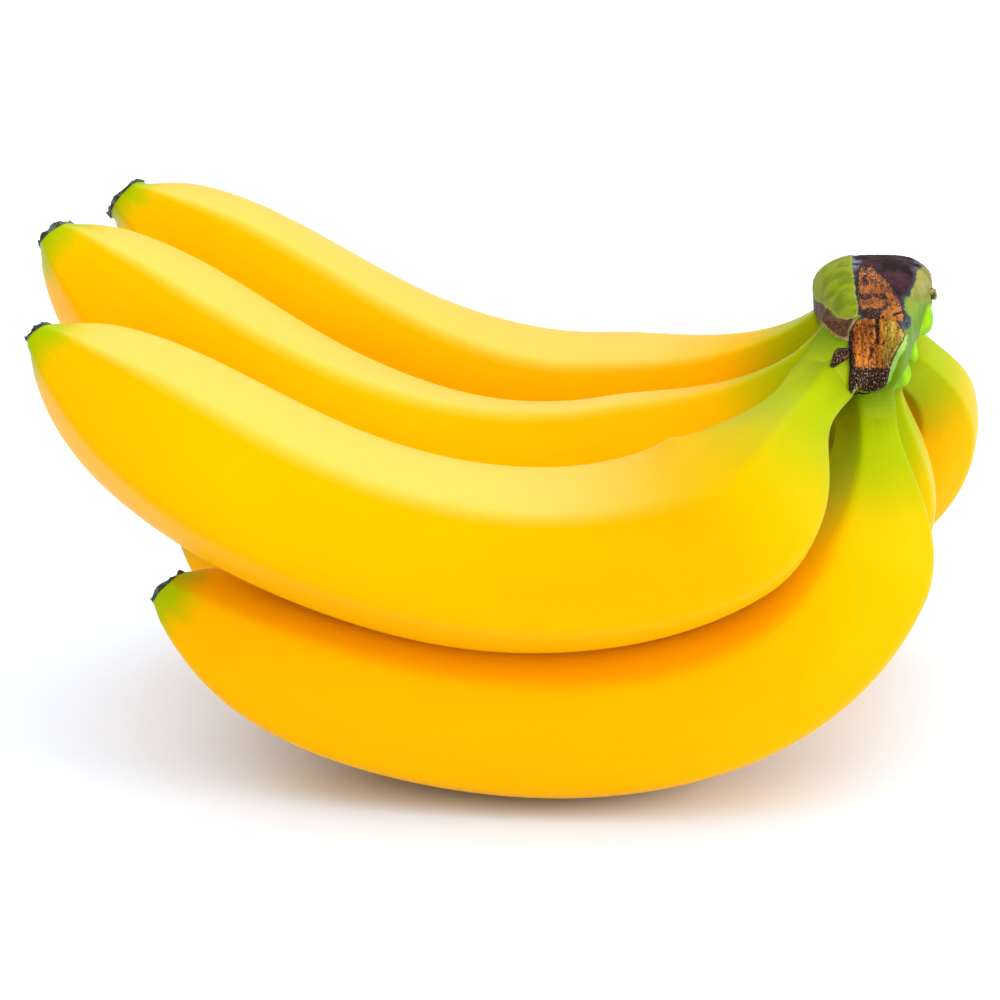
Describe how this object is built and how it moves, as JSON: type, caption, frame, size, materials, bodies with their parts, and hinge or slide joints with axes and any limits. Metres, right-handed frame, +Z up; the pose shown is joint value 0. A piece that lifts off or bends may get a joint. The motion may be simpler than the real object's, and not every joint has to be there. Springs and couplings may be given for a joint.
{
  "type": "bunch of bananas",
  "caption": "Bunch of ripe yellow bananas in two rows, curved and ridged, joined by green stalks to one cut crown, lying on its lower row.",
  "frame": {"origin": "middle of the bunch's bounding box, at the height of the surface that it lies on", "axes": "+X from the flower ends towards the crown, the longest extent; +Y from the front fruit of each row to the back one; +Z up from the surface"},
  "size_m": [0.2, 0.1306, 0.114],
  "materials": {
    "banana_peel": "satin, waxy ripe peel",
    "crown_skin": "satin green skin",
    "dried_cut": "matt dried cut fibre",
    "dried_flower": "matt dried flower end"
  },
  "bodies": {
    "root": {"banana_upper_front": "banana_peel", "banana_upper_middle": "banana_peel", "banana_upper_back": "banana_peel", "banana_lower_front": "banana_peel", "banana_lower_middle": "banana_peel", "banana_lower_back": "banana_peel", "flower_end_upper_front": "dried_flower", "flower_end_upper_middle": "dried_flower", "flower_end_upper_back": "dried_flower", "flower_end_lower_front": "dried_flower", "flower_end_lower_middle": "dried_flower", "flower_end_lower_back": "dried_flower", "crown": "crown_skin", "crown_cut": "dried_cut"}
  },
  "joints": []
}
